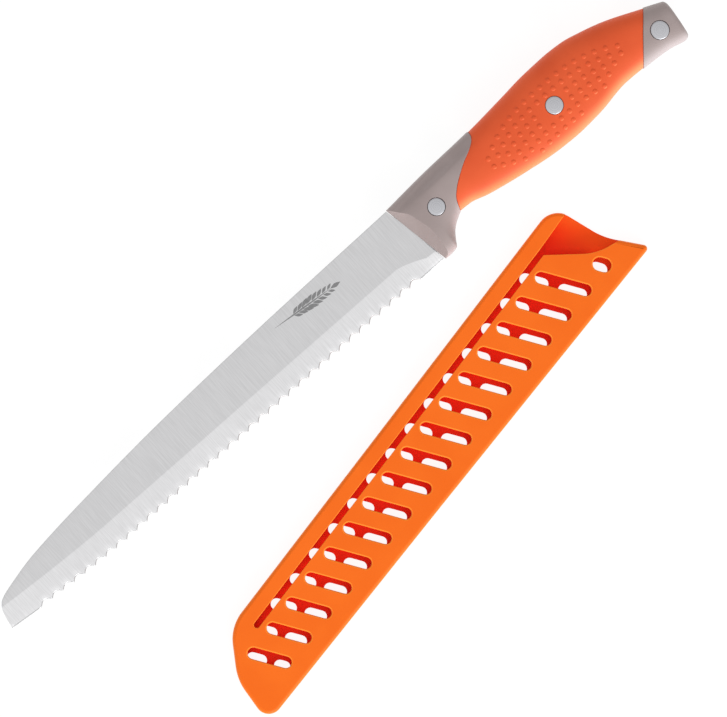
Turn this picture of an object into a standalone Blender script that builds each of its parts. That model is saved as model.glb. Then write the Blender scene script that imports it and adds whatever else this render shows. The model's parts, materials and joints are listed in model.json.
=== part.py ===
"""Bread knife with a moulded handle, and the slotted cover that slides over its blade.

Lengths are in millimetres and become metres where vertices are made.

Knife frame: +X runs from the tip to the butt, +Y points to the spine, Z = 0 is the blade's middle
plane, and the origin is where the spine meets the bolster.
Cover frame: +X runs from the tip end to the mouth, +Y points to the spine side, Z = 0 is the
table, and the origin is below the tip end.
"""
import bisect
import bpy
import bmesh
import math

MM = 0.001
GAP = 0.3                     # clearance between neighbouring pieces
SEAM_HALF = 0.22              # half the clearance at the curved seams of the handle

# Where the two frames sit in the part's own frame
KNIFE_AT = (38.43, 52.245, 9.2)
COVER_AT = (-158.5, -94.4)    # from the knife's origin
COVER_TURN = math.radians(10.25)

# Blade
BLADE_THICK = 2.0
EDGE_THICK = 0.3
TIP_X = -203.6
TIP_Y = -22.6
EDGE_Y = -26.3                # line through the tooth tips
TIP_BEND_X = -150.0           # from here the edge rises to the tip
TIP_BEND = 1.6                # how late that rise comes
BEVEL_Y = -17.1
BEVEL_TIP_RISE = 2.8
BEVEL_DROP = 0.9              # how far the bevel line falls towards the heel
HEEL_BEVEL_X = -12.0          # from here the bevel runs out to the heel
HEEL_BEVEL_RUN = 16.0
HEEL_BEVEL_FALL = 6.4
HEEL_BEND = 1.4
THIN = 0.02                   # least distance between two lines of the blade
TOOTH_COUNT = 37
TOOTH_FIRST_X = -190.3
TOOTH_LAST_X = -7.5
TOOTH_DEPTH = 1.6
TOOTH_ROUND = 1.7             # 1 is a V notch, 2 is a bowl
TANG_END_X = 122.5
TANG_ROOT_Y = -21.0           # bottom of the tang where it leaves the blade
TANG_STATIONS = (6.0, 9.0, 12.0, 16.0, 20.0, 30.0, 45.0, 58.0, 71.0, 83.0, 95.0, 103.0, 110.0,
                 TANG_END_X)

# Handle
LIP = 1.6                     # half height of the bolster where it meets the blade
FACET_RISE = 1.45             # how steeply the bolster's front facet climbs
SQUARENESS = 2.6              # exponent of the handle's cross-section
GRIP_WALL = 2.6
CORE_INSET = 3.2              # from the handle's surface to the core's
BUTT_ROUND = 1.2
BUTT_HALF = 8.0               # half height of the butt
RING_POINTS = 48
SEAM_TURNS = 25               # rounds of the search for a seam's X
CUT_REACH = 12.0              # how far a cutter reaches past the surface it opens

# Rivets: place, and diameter of the visible head
RIVETS = {"front": (14.4, -10.4, 6.5), "middle": (71.0, -11.3, 6.6), "rear": (118.0, -16.3, 6.9)}
HEAD_THICK = 1.6
SOCKET_DIAMETER = 4.4
STUD_DIAMETER = 3.0
STUD_REACH = 4.0              # the stud ends this far past the middle plane
RIVET_SEGMENTS = 24
HEAD_SINK = 0.05              # the heads lie this much under the surface
HEAD_EDGE = 0.2

# Cover
COVER_THICK = 6.4
COVER_WALL = 1.6
COVER_RIM = 2.2
SLOT_ROWS = 16
SLOT_FIRST = (191.8, -2.0)    # middle of the slot nearest the mouth
SLOT_PITCH = 11.6
SLOT_LEAN = math.radians(22.7)
SLOT_WIDTH = 4.3
SLOT_LENGTHS = (21.3, 16.6)   # at the mouth and at the tip end
BACK_SHIFT = 2.1              # the back slots sit this much nearer the tip
SLIT_WIDTH = 2.3
SLIT_ENDS = ((24.4, 9.1), (225.0, 11.7))
HANG_HOLE = (206.1, -8.8)
HANG_SIZE = (6.9, 5.0)
OUTER_ROUND = 1.0
# The two back slots of a row as (from Y, to Y), at the mouth end, at the tip end and in the last row
BACK_SLOTS = (((12.0, 1.9), (9.8, 0.9), (4.8, -2.2)), ((-1.6, -11.6), (-1.8, -9.2), (-4.8, -10.4)))
SHORT_ROWS_X = 35.0           # rows nearer the tip than this stay clear of the slit
SHORT_ROW_TOP = 7.0


def smooth_curve(*points):
    """A function that runs smoothly through (x, y) points and goes on straight past the ends."""
    xs = [x for x, _ in points]
    ys = [y for _, y in points]
    steps = [b - a for a, b in zip(xs, xs[1:])]
    secants = [(b - a) / step for a, b, step in zip(ys, ys[1:], steps)]
    slopes = [secants[0]]
    for before, after in zip(secants, secants[1:]):
        turns_back = before * after <= 0
        slopes.append(0.0 if turns_back else 2 * before * after / (before + after))
    slopes.append(secants[-1])

    def value(x):
        if x <= xs[0]:
            return ys[0] + slopes[0] * (x - xs[0])
        if x >= xs[-1]:
            return ys[-1] + slopes[-1] * (x - xs[-1])
        i = bisect.bisect_right(xs, x) - 1
        t = (x - xs[i]) / steps[i]
        rise = ys[i + 1] - ys[i]
        start = steps[i] * slopes[i] - rise
        end = rise - steps[i] * slopes[i + 1]
        return ys[i] + t * rise + t * (1 - t) * ((1 - t) * start + t * end)

    return value


handle_top = smooth_curve((-1, 0.8), (20, 2.1), (40, 2.7), (58, 4.0), (70, 5.0), (80, 5.2),
                          (88, 4.7), (96, 2.9), (104, 0.5), (119, -5.9), (127, -9.5))
handle_bottom = smooth_curve((3, -26.7), (7, -26.9), (10.2, -26.4), (12, -24.0), (14.2, -21.2),
                             (17.2, -19.0), (20.5, -17.6), (24.5, -17.8), (32, -19.9), (48, -23.0),
                             (62, -24.9), (71, -25.3), (82, -24.7), (97, -22.7), (106, -23.0),
                             (116, -23.8), (124, -25.5), (127, -25.6))
handle_half = smooth_curve((0, 6.6), (8, 7.4), (20, 7.8), (40, 8.0), (58, 8.8), (72, 9.2),
                           (90, 8.8), (106, 8.2), (118, 7.9), (127, 7.7))
tang_top = smooth_curve((1, -3.0), (20, -3.0), (45, -4.0), (71, -5.0), (95, -6.5), (108, -9.5),
                        (TANG_END_X, -12.4))
tang_bottom = smooth_curve((4, -21.0), (12, -17.5), (20, -14.5), (30, -14.6), (45, -16.0),
                           (71, -17.6), (95, -18.0), (110, -20.0), (TANG_END_X, -20.4))

# The blade's back: nearly straight, then curving down to a blunt nose
spine_y = smooth_curve((TIP_X, TIP_Y), (-202.7, -17.9), (-202.0, -15.6), (-200.9, -13.6),
                       (-199.0, -12.1), (-192.0, -10.0), (-180.0, -7.5), (-150.0, -4.5),
                       (-110.0, -1.9), (-60.0, -0.3), (0.0, 0.6))

# Seams across the handle, each an X for a given Y
bolster_front = smooth_curve((-24.5, 4.2), (0.9, -0.2))
bolster_back = smooth_curve((-17.7, 20.0), (-13.3, 21.7), (-10.3, 24.4), (-8.2, 27.2), (-4.9, 32.5),
                            (-2.4, 37.6), (-0.6, 40.0), (1.0, 41.0), (2.7, 41.2))
cap_front = smooth_curve((-23.1, 104.4), (-14.6, 111.4), (-6.0, 119.1))
butt = smooth_curve((-25.5, 125.1), (-9.8, 126.7))


def offset_seam(seam, distance):
    """The same seam, moved square to itself by a distance towards the butt."""
    def moved(y):
        slope = (seam(y + 0.2) - seam(y - 0.2)) / 0.4
        return seam(y) + distance * math.hypot(1, slope)

    return moved


# Mesh and object helpers

def clear_scene():
    for item in list(bpy.data.objects):
        bpy.data.objects.remove(item, do_unlink=True)


def frame_empty(name, location, turn=0.0, parent=None):
    """An empty that carries one frame."""
    empty = bpy.data.objects.new(name, None)
    empty.location = [value * MM for value in location]
    empty.rotation_euler = (0, 0, turn)
    empty.parent = parent
    bpy.context.collection.objects.link(empty)
    return empty


def finish_mesh(bm, name, parent, smooth_angle=None):
    """Turns a bmesh in millimetres into an object in metres."""
    bmesh.ops.scale(bm, vec=(MM, MM, MM), verts=bm.verts)
    bmesh.ops.recalc_face_normals(bm, faces=bm.faces)
    mesh = bpy.data.meshes.new(name)
    bm.to_mesh(mesh)
    bm.free()
    if smooth_angle:
        mesh.shade_smooth()
        mesh.set_sharp_from_angle(angle=math.radians(smooth_angle))
    item = bpy.data.objects.new(name, mesh)
    item.parent = parent
    bpy.context.collection.objects.link(item)
    return item


def add_ring(bm, points):
    return [bm.verts.new(point) for point in points]


def bridge(bm, ring_a, ring_b):
    """Quads between two closed rings with the same number of points."""
    count = len(ring_a)
    for i in range(count):
        j = (i + 1) % count
        bm.faces.new((ring_a[i], ring_a[j], ring_b[j], ring_b[i]))


def close_end(bm, ring):
    """Closes a ring with strips between its upper and lower halves."""
    count = len(ring)
    for i in range(count // 2):
        corners = (ring[i], ring[i + 1], ring[-i - 1], ring[-i % count])
        bm.faces.new(list(dict.fromkeys(corners)))


def prism(bm, outline, low, high):
    """A straight prism over a closed outline."""
    bottom = [bm.verts.new((x, y, low)) for x, y in outline]
    face = bm.faces.new(bottom)
    extruded = bmesh.ops.extrude_face_region(bm, geom=[face])
    top = [item for item in extruded["geom"] if isinstance(item, bmesh.types.BMVert)]
    bmesh.ops.translate(bm, verts=top, vec=(0, 0, high - low))
    return top


def cylinder(bm, x, y, low, high, diameter):
    made = bmesh.ops.create_cone(bm, cap_ends=True, segments=RIVET_SEGMENTS, radius1=diameter / 2,
                                 radius2=diameter / 2, depth=high - low)
    bmesh.ops.translate(bm, verts=made["verts"], vec=(x, y, (low + high) / 2))


def make_cutter(bm, name, parent):
    cutter = finish_mesh(bm, name, parent)
    cutter.hide_render = True
    cutter.display_type = "WIRE"
    return cutter


def cut(item, cutter):
    modifier = item.modifiers.new(cutter.name, "BOOLEAN")
    modifier.operation = "DIFFERENCE"
    modifier.solver = "EXACT"
    modifier.object = cutter


def paint(item, colour, roughness, metallic=0.0):
    material = bpy.data.materials.new(item.name)
    material.use_nodes = True
    shader = material.node_tree.nodes["Principled BSDF"]
    shader.inputs["Base Color"].default_value = (*colour, 1.0)
    shader.inputs["Roughness"].default_value = roughness
    shader.inputs["Metallic"].default_value = metallic
    item.data.materials.append(material)


def steel(item):
    paint(item, (0.60, 0.60, 0.62), 0.32, 1.0)


def grey_plastic(item):
    paint(item, (0.36, 0.28, 0.27), 0.45)


def orange_rubber(item):
    paint(item, (0.80, 0.13, 0.03), 0.50)


def orange_plastic(item):
    paint(item, (0.95, 0.16, 0.015), 0.35)


def fillet_outline(corners, steps=6):
    """A closed outline with round corners from (x, y, radius) corners."""
    outline = []
    count = len(corners)
    for i, (x, y, radius) in enumerate(corners):
        before = corners[i - 1]
        after = corners[(i + 1) % count]
        back = math.atan2(before[1] - y, before[0] - x)
        ahead = math.atan2(after[1] - y, after[0] - x)
        opening = (ahead - back + math.pi) % (2 * math.pi) - math.pi
        if radius == 0:
            outline.append((x, y))
            continue
        half = abs(opening) / 2
        away = radius / math.sin(half)
        middle = back + opening / 2
        centre = (x + away * math.cos(middle), y + away * math.sin(middle))
        swing = math.copysign(math.pi / 2 - half, opening)
        for step in range(steps + 1):
            angle = middle + math.pi + swing * (1 - 2 * step / steps)
            outline.append((centre[0] + radius * math.cos(angle),
                            centre[1] + radius * math.sin(angle)))
    return outline


# Blade

def tip_rise(x):
    """How far the edge has risen towards the tip, from 0 to 1."""
    return (max(0.0, TIP_BEND_X - x) / (TIP_BEND_X - TIP_X)) ** TIP_BEND


def edge_y(x):
    return EDGE_Y + (TIP_Y - EDGE_Y) * tip_rise(x)


def bevel_y(x):
    """The line where the flat side turns into the ground bevel."""
    fall = BEVEL_DROP * max(0.0, x - TIP_BEND_X) / (-TIP_BEND_X)
    run_out = max(0.0, x - HEEL_BEVEL_X) / HEEL_BEVEL_RUN
    return BEVEL_Y + BEVEL_TIP_RISE * tip_rise(x) - fall - HEEL_BEVEL_FALL * run_out ** HEEL_BEND


def half_thickness(x, y):
    """Half the blade's thickness: full above the bevel line, thin at the edge."""
    bevel = bevel_y(x)
    if y >= bevel:
        return BLADE_THICK / 2
    share = min(1.0, (bevel - y) / (bevel - edge_y(x)))
    return (BLADE_THICK + (EDGE_THICK - BLADE_THICK) * share) / 2


def scallop(start, end, steps=6):
    """Points of one scallop between two tooth tips, the tips left out."""
    points = []
    for step in range(1, steps):
        across = 2 * step / steps - 1
        x = start + (end - start) * step / steps
        lift = TOOTH_DEPTH * (1 - abs(across) ** TOOTH_ROUND)
        points.append((x, edge_y(x) + lift))
    return points


def blade_stations():
    """X of each cross-section and, for the stretch that follows it, its edge points."""
    nose = [TIP_X, -203.2, -202.7, -202.3, -201.8, -200.9, -199.0, -195.0]
    stations = [(x, []) for x in nose]
    pitch = (TOOTH_LAST_X - TOOTH_FIRST_X) / TOOTH_COUNT
    for tooth in range(TOOTH_COUNT):
        start = TOOTH_FIRST_X + tooth * pitch
        stations.append((start, scallop(start, start + pitch)))
    stations += [(x, []) for x in (TOOTH_LAST_X, -4.0, -1.0)]
    return stations


def blade_rows(bm, x, shear):
    """Spine, bevel and edge vertices of one cross-section, on both sides."""
    spine = spine_y(x)
    edge = edge_y(x)
    bevel = min(bevel_y(x), spine - THIN) if x > TIP_X else edge + THIN
    rows = {}
    for name, y in (("spine", max(spine, edge + 2 * THIN)), ("bevel", bevel), ("edge", edge)):
        for side in (1, -1):
            rows[name, side] = bm.verts.new((x + shear(y), y, side * half_thickness(x, y)))
    return rows


def build_blade(parent):
    """Blade and full-length tang, one piece of sheet steel."""
    bm = bmesh.new()
    stations = blade_stations()
    sections = [blade_rows(bm, x, lambda y: 0.0) for x, _ in stations]
    shoulder = offset_seam(bolster_front, -GAP)
    sections.append(blade_rows(bm, 0.0, shoulder))
    for (_, notch), here, there in zip(stations, sections, sections[1:]):
        edge_points = {}
        for side in (1, -1):
            inner = [bm.verts.new((x, y, side * half_thickness(x, y))) for x, y in notch]
            edge_points[side] = [here["edge", side], *inner, there["edge", side]]
            bm.faces.new([there["bevel", side], here["bevel", side], *edge_points[side]])
        for left, right in zip(zip(edge_points[1], edge_points[1][1:]),
                               zip(edge_points[-1], edge_points[-1][1:])):
            bm.faces.new((left[0], left[1], right[1], right[0]))
        bm.faces.new((here["spine", 1], there["spine", 1], there["spine", -1], here["spine", -1]))
    front = sections[0]
    bm.faces.new([front[name, side] for name, side in (("spine", 1), ("bevel", 1), ("edge", 1),
                                                       ("edge", -1), ("bevel", -1), ("spine", -1))])
    roots = {}
    for name, y in (("top", tang_top(0.0)), ("bottom", TANG_ROOT_Y)):
        for side in (1, -1):
            roots[name, side] = bm.verts.new((shoulder(y), y, side * BLADE_THICK / 2))
    for side in (1, -1):
        for here, there in zip(sections[:-2], sections[1:-1]):
            bm.faces.new((here["spine", side], there["spine", side],
                          there["bevel", side], here["bevel", side]))
        last, heel = sections[-2], sections[-1]
        bm.faces.new((last["spine", side], heel["spine", side], roots["top", side],
                      roots["bottom", side], heel["bevel", side], last["bevel", side]))
    bm.faces.new((heel["spine", 1], roots["top", 1], roots["top", -1], heel["spine", -1]))
    bm.faces.new((heel["bevel", 1], roots["bottom", 1], roots["bottom", -1], heel["bevel", -1]))
    bm.faces.new((heel["edge", 1], heel["bevel", 1], heel["bevel", -1], heel["edge", -1]))
    before = [roots["top", 1], roots["bottom", 1], roots["bottom", -1], roots["top", -1]]
    for x in TANG_STATIONS:
        top, bottom, half = tang_top(x), tang_bottom(x), BLADE_THICK / 2
        ring = add_ring(bm, ((x, top, half), (x, bottom, half), (x, bottom, -half), (x, top, -half)))
        bridge(bm, before, ring)
        before = ring
    bm.faces.new(before)
    blade = finish_mesh(bm, "blade", parent)
    cut(blade, rivet_cutter("tang_hole_cutter", parent, SOCKET_DIAMETER + 2 * GAP))
    steel(blade)


# Handle

def section_point(x, angle, inset=0.0):
    """Y and Z of the handle's surface at one station, or of the same surface moved inwards."""
    top = handle_top(x) - inset
    bottom = handle_bottom(x) + inset
    across = math.cos(angle)
    height = (1 - abs(across) ** SQUARENESS) ** (1 / SQUARENESS)
    z = math.copysign((handle_half(x) - inset) * height, math.sin(angle))
    return (top + bottom) / 2 + (top - bottom) / 2 * across, z


def surface_height(x, y):
    """Height of the handle's surface above the middle plane at a point of it."""
    top = handle_top(x)
    bottom = handle_bottom(x)
    across = abs(2 * y - top - bottom) / (top - bottom)
    return handle_half(x) * (1 - across ** SQUARENESS) ** (1 / SQUARENESS)


def seam_x(seam, angle, inset=0.0):
    """Where a seam meets the surface at one angle round the handle."""
    x = seam(-10.0)
    for _ in range(SEAM_TURNS):
        y, _ = section_point(x, angle, inset)
        x = seam(y)
    return x


def handle_rings(start, end, stations, inset=0.0, shape=None):
    """Rings of points between two seams, at the given shares of the way."""
    angles = [2 * math.pi * i / RING_POINTS for i in range(RING_POINTS)]
    starts = [seam_x(start, angle, inset) for angle in angles]
    ends = [seam_x(end, angle, inset) for angle in angles]
    rings = []
    for share in stations:
        ring = []
        for angle, first, last in zip(angles, starts, ends):
            x = first + (last - first) * share
            y, z = section_point(x, angle, inset)
            ring.append(shape(x, y, z) if shape else (x, y, z))
        rings.append(ring)
    return rings


def even_shares(count):
    return [i / count for i in range(count + 1)]


def solid_from_rings(rings):
    bm = bmesh.new()
    made = [add_ring(bm, ring) for ring in rings]
    for here, there in zip(made, made[1:]):
        bridge(bm, here, there)
    close_end(bm, made[0])
    close_end(bm, made[-1])
    return bm


def front_facet(x, y, z):
    """Holds the bolster's surface under the facet that climbs from the blade."""
    limit = LIP + FACET_RISE * max(0.0, x - bolster_front(y))
    return x, y, math.copysign(min(abs(z), limit), z)


def rivet_cutter(name, parent, diameter):
    """Straight holes for the three rivets, right through the handle."""
    bm = bmesh.new()
    for x, y, _ in RIVETS.values():
        cylinder(bm, x, y, -CUT_REACH, CUT_REACH, diameter)
    return make_cutter(bm, name, parent)


def head_cutter(parent):
    """Round seats for the rivet heads, on both sides."""
    bm = bmesh.new()
    for x, y, head in RIVETS.values():
        seat = surface_height(x, y) - HEAD_THICK - GAP
        for side in (1, -1):
            low, high = sorted((side * seat, side * CUT_REACH))
            cylinder(bm, x, y, low, high, head + 2 * GAP)
    return make_cutter(bm, "rivet_seat_cutter", parent)


def tang_cutter(parent):
    """The room that the handle leaves for the tang."""
    bm = bmesh.new()
    root_x = 4.0
    xs = (-6.0, root_x, 8.0) + TANG_STATIONS[2:-1] + (TANG_END_X + GAP,)
    top = [(x, tang_top(x) + GAP) for x in xs]
    bottom = [(x, tang_bottom(max(x, root_x)) - GAP) for x in reversed(xs)]
    half = BLADE_THICK / 2 + GAP
    prism(bm, top + bottom, -half, half)
    return make_cutter(bm, "tang_slot_cutter", parent)


def build_bolster(parent, cutters):
    shares = [(i / 18) ** 1.3 for i in range(19)]
    rings = handle_rings(bolster_front, offset_seam(bolster_back, -SEAM_HALF), shares,
                         shape=front_facet)
    bolster = finish_mesh(solid_from_rings(rings), "bolster", parent, 40)
    for cutter in cutters:
        cut(bolster, cutter)
    grey_plastic(bolster)


def build_grip(parent, cutters):
    """Soft sleeve, open at both ends, moulded round the core."""
    start = offset_seam(bolster_back, SEAM_HALF)
    end = offset_seam(cap_front, -SEAM_HALF)
    shares = even_shares(12)
    outer = handle_rings(start, end, shares)
    inner = handle_rings(start, end, shares, inset=GRIP_WALL)
    bm = bmesh.new()
    made = [add_ring(bm, ring) for ring in outer + inner[::-1]]
    for here, there in zip(made, made[1:] + made[:1]):
        bridge(bm, here, there)
    grip = finish_mesh(bm, "grip", parent, 40)
    for cutter in cutters:
        cut(grip, cutter)
    orange_rubber(grip)


def build_core_half(name, side, parent, cutters):
    """One half of the hard core that carries the grip on the tang."""
    def half_shape(x, y, z):
        return x, y, side * max(side * z, GAP / 2)

    start = offset_seam(bolster_back, SEAM_HALF)
    end = offset_seam(cap_front, -SEAM_HALF)
    rings = handle_rings(start, end, even_shares(12), inset=CORE_INSET, shape=half_shape)
    core = finish_mesh(solid_from_rings(rings), name, parent)
    for cutter in cutters:
        cut(core, cutter)
    grey_plastic(core)


def build_end_cap(parent, cutters):
    def butt_round(x, y, z):
        """Draws the last stretch in, so that the butt has a soft edge."""
        near = max(0.0, x - (butt(y) - BUTT_ROUND)) / BUTT_ROUND
        draw = BUTT_ROUND * (1 - math.sqrt(max(0.0, 1 - near ** 2)))
        middle = (handle_top(x) + handle_bottom(x)) / 2
        keep = 1 - draw / handle_half(x)
        return x, middle + (y - middle) * (1 - draw / BUTT_HALF), z * keep

    rings = handle_rings(offset_seam(cap_front, SEAM_HALF), butt,
                         (0, 0.2, 0.4, 0.6, 0.8, 0.93, 0.97, 1.0), shape=butt_round)
    cap = finish_mesh(solid_from_rings(rings), "end_cap", parent, 40)
    for cutter in cutters:
        cut(cap, cutter)
    grey_plastic(cap)


def build_rivet(name, x, y, head, parent):
    """A cutler's rivet: a stud from one side, pressed into a socket from the other."""
    top = surface_height(x, y) - HEAD_SINK
    under = top - HEAD_THICK
    bm = bmesh.new()
    lathe(bm, x, y, ((0, top), (head / 2 - HEAD_EDGE, top), (head / 2, top - HEAD_EDGE), (head / 2, under),
                     (STUD_DIAMETER / 2, under), (STUD_DIAMETER / 2, -STUD_REACH), (0, -STUD_REACH)))
    steel(finish_mesh(bm, f"{name}_rivet_stud", parent, 40))
    bm = bmesh.new()
    bore = STUD_DIAMETER / 2 + GAP
    lathe(bm, x, y, ((0, -top), (head / 2 - HEAD_EDGE, -top), (head / 2, HEAD_EDGE - top), (head / 2, -under),
                     (SOCKET_DIAMETER / 2, -under), (SOCKET_DIAMETER / 2, under - GAP),
                     (bore, under - GAP), (bore, -STUD_REACH - GAP), (0, -STUD_REACH - GAP)))
    steel(finish_mesh(bm, f"{name}_rivet_socket", parent, 40))


def lathe(bm, x, y, profile):
    """Turns a (radius, height) profile that starts and ends on the axis."""
    before = None
    for radius, z in profile:
        if radius == 0:
            ring = [bm.verts.new((x, y, z))]
        else:
            angles = [2 * math.pi * i / RIVET_SEGMENTS for i in range(RIVET_SEGMENTS)]
            ring = [bm.verts.new((x + radius * math.cos(a), y + radius * math.sin(a), z))
                    for a in angles]
        if before:
            join_rings(bm, before, ring)
        before = ring


def join_rings(bm, ring_a, ring_b):
    """Bridges two rings of which one may be a single point."""
    if len(ring_a) == len(ring_b):
        bridge(bm, ring_a, ring_b)
        return
    point, ring = sorted((ring_a, ring_b), key=len)
    for i in range(len(ring)):
        bm.faces.new((point[0], ring[i], ring[(i + 1) % len(ring)]))


# Cover

def cover_outline(inset=0.0, mouth_reach=0.0):
    """The cover's outline seen from above, or the same outline moved inwards."""
    spine, belly = 18.8 - inset, -18.6 + inset
    return fillet_outline((
        (222.4 + mouth_reach, belly, 1.4 if mouth_reach == 0 else 0),
        (214.4 + mouth_reach, -3.0, 26 if mouth_reach == 0 else 0),
        (211.9 + mouth_reach, spine, 8.0 if mouth_reach == 0 else 0),
        (100.0, 17.3 - inset, 0),
        (17.8 + inset * 0.3, 16.3 - inset, 16),
        (4.0 + inset, 2.2, 20),
        (-1.4 + inset * 1.1, -16.4 + inset, 5.0),
        (100.0, -17.2 + inset, 0),
    ))


def stadium(centre, length, width, angle, steps=5):
    """A slot outline with round ends."""
    radius = width / 2
    reach = length / 2 - radius
    outline = []
    for end in (1, -1):
        for step in range(steps + 1):
            swing = math.pi * (step / steps - 0.5) + (0 if end == 1 else math.pi)
            u = end * reach + radius * math.cos(swing)
            v = radius * math.sin(swing)
            outline.append((centre[0] + u * math.cos(angle) - v * math.sin(angle),
                            centre[1] + u * math.sin(angle) + v * math.cos(angle)))
    return outline


def slot_direction():
    """Unit vector along a slot, from the spine side to the edge side."""
    return math.sin(SLOT_LEAN), -math.cos(SLOT_LEAN)


def slot_between(row_x, y_from, y_to, shift):
    """Outline of a slot on a row's line between two Y positions."""
    along = slot_direction()
    middle = (y_from + y_to) / 2
    x = row_x + (SLOT_FIRST[1] - middle) * math.tan(SLOT_LEAN) - shift
    return stadium((x, middle), (y_from - y_to) / -along[1], SLOT_WIDTH,
                   math.atan2(along[1], along[0]))


def cover_rows():
    """X of each slot row, from the mouth to the tip end, and its place from 0 to 1."""
    return [(SLOT_FIRST[0] - row * SLOT_PITCH, row / (SLOT_ROWS - 1)) for row in range(SLOT_ROWS)]


def front_slot_cutter(parent):
    bm = bmesh.new()
    for x, place in cover_rows():
        length = SLOT_LENGTHS[0] + (SLOT_LENGTHS[1] - SLOT_LENGTHS[0]) * place
        half = length / 2 * math.cos(SLOT_LEAN)
        outline = slot_between(x, SLOT_FIRST[1] + half, SLOT_FIRST[1] - half, 0.0)
        prism(bm, outline, COVER_THICK / 2, COVER_THICK + 1)
    return make_cutter(bm, "front_slot_cutter", parent)


def back_slot_cutter(parent):
    """Two shorter slots in each row of the back, with a rib between them."""
    bm = bmesh.new()
    for x, place in cover_rows():
        for at_mouth, at_tip, in_last_row in BACK_SLOTS:
            y_from, y_to = (a + (b - a) * place for a, b in zip(at_mouth, at_tip))
            if place == 1.0:
                y_from, y_to = in_last_row
            if x < SHORT_ROWS_X:
                y_from = min(y_from, SHORT_ROW_TOP)
            prism(bm, slot_between(x, y_from, y_to, BACK_SHIFT), -1.0, COVER_THICK / 2)
    return make_cutter(bm, "back_slot_cutter", parent)


def hang_hole_cutter(parent):
    """The hang hole, whose lower half is set towards the tip like the back slots."""
    bm = bmesh.new()
    middle = COVER_THICK / 2
    for low, high, shift in ((middle, COVER_THICK + 1, 0.0), (-1.0, middle - GAP / 4, BACK_SHIFT)):
        centre = (HANG_HOLE[0] - shift, HANG_HOLE[1])
        prism(bm, stadium(centre, *HANG_SIZE, SLOT_LEAN - math.pi / 2), low, high)
    return make_cutter(bm, "hang_hole_cutter", parent)


def blade_room_cutter(parent):
    """The flat room for the blade, open at the mouth."""
    bm = bmesh.new()
    prism(bm, cover_outline(inset=COVER_RIM, mouth_reach=12.0), COVER_WALL,
          COVER_THICK - COVER_WALL)
    return make_cutter(bm, "blade_room_cutter", parent)


def mouth_cutter(parent):
    """Takes the front wall away at the mouth, in a sweeping curve beside the rail."""
    bm = bmesh.new()
    outline = fillet_outline(((235, 14.3, 0), (192.5, 12.3, 0), (194.8, 11.2, 1.2), (208.0, -4.6, 20),
                              (219.5, -9.3, 0), (235, -9.3, 0)))
    prism(bm, outline, COVER_THICK / 2, COVER_THICK + 1)
    return make_cutter(bm, "mouth_cutter", parent)


def slit_cutter(parent):
    """The long slit between the front wall and the rail over the spine."""
    bm = bmesh.new()
    (x0, y0), (x1, y1) = SLIT_ENDS
    centre = ((x0 + x1) / 2, (y0 + y1) / 2)
    length = math.hypot(x1 - x0, y1 - y0) + SLIT_WIDTH
    outline = stadium(centre, length, SLIT_WIDTH, math.atan2(y1 - y0, x1 - x0))
    prism(bm, outline, COVER_THICK / 2, COVER_THICK + 1)
    return make_cutter(bm, "slit_cutter", parent)


def cover_plate(name, low, high, outer_z, parent):
    """A flat shell over the cover's outline, with its outer edge rounded."""
    bm = bmesh.new()
    prism(bm, cover_outline(), low, high)
    rim = [edge for edge in bm.edges if all(abs(vert.co.z - outer_z) < 1e-6 for vert in edge.verts)]
    bmesh.ops.bevel(bm, geom=rim, offset=OUTER_ROUND, segments=2, affect="EDGES", profile=0.5, material=-1)
    plate = finish_mesh(bm, name, parent)
    orange_plastic(plate)
    return plate


def build_cover(parent):
    """Two shells that meet on the middle plane and leave a flat room for the blade."""
    room = blade_room_cutter(parent)
    hang = hang_hole_cutter(parent)
    middle = COVER_THICK / 2
    front = cover_plate("cover_front", middle + GAP / 2, COVER_THICK, COVER_THICK, parent)
    for cutter in (room, mouth_cutter(parent), slit_cutter(parent), front_slot_cutter(parent), hang):
        cut(front, cutter)
    back = cover_plate("cover_back", 0.0, middle - GAP / 2, 0.0, parent)
    for cutter in (room, back_slot_cutter(parent), hang):
        cut(back, cutter)


def build_knife(parent):
    build_blade(parent)
    seats = head_cutter(parent)
    tang_room = tang_cutter(parent)
    shank_room = rivet_cutter("rivet_hole_cutter", parent, SOCKET_DIAMETER + 2 * GAP)
    cutters = (tang_room, shank_room, seats)
    build_bolster(parent, cutters)
    build_grip(parent, (shank_room, seats))
    build_core_half("grip_core_upper", 1, parent, cutters)
    build_core_half("grip_core_lower", -1, parent, cutters)
    build_end_cap(parent, cutters)
    for name, (x, y, head) in RIVETS.items():
        build_rivet(name, x, y, head, parent)


def main():
    clear_scene()
    knife = frame_empty("knife_frame", KNIFE_AT)
    cover_place = (KNIFE_AT[0] + COVER_AT[0], KNIFE_AT[1] + COVER_AT[1], 0.0)
    cover = frame_empty("cover_frame", cover_place, COVER_TURN)
    build_knife(knife)
    build_cover(cover)


main()
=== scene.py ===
"""Looks of the bread knife and its slotted blade cover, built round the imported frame.

Lengths are in millimetres until a piece is placed, which also turns them into metres. The studio
and the patterns of the finishes are in metres.

Knife frame: +X runs from the tip to the butt, +Y points to the spine, Z = 0 is the blade's middle
plane, and the origin is where the spine meets the bolster.
Cover frame: +X runs from the tip end to the mouth, +Y points to the spine side, Z = 0 is the table.
"""
import bisect
import json
import math

import bmesh
import bpy
from mathutils import Matrix, Vector

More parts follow.
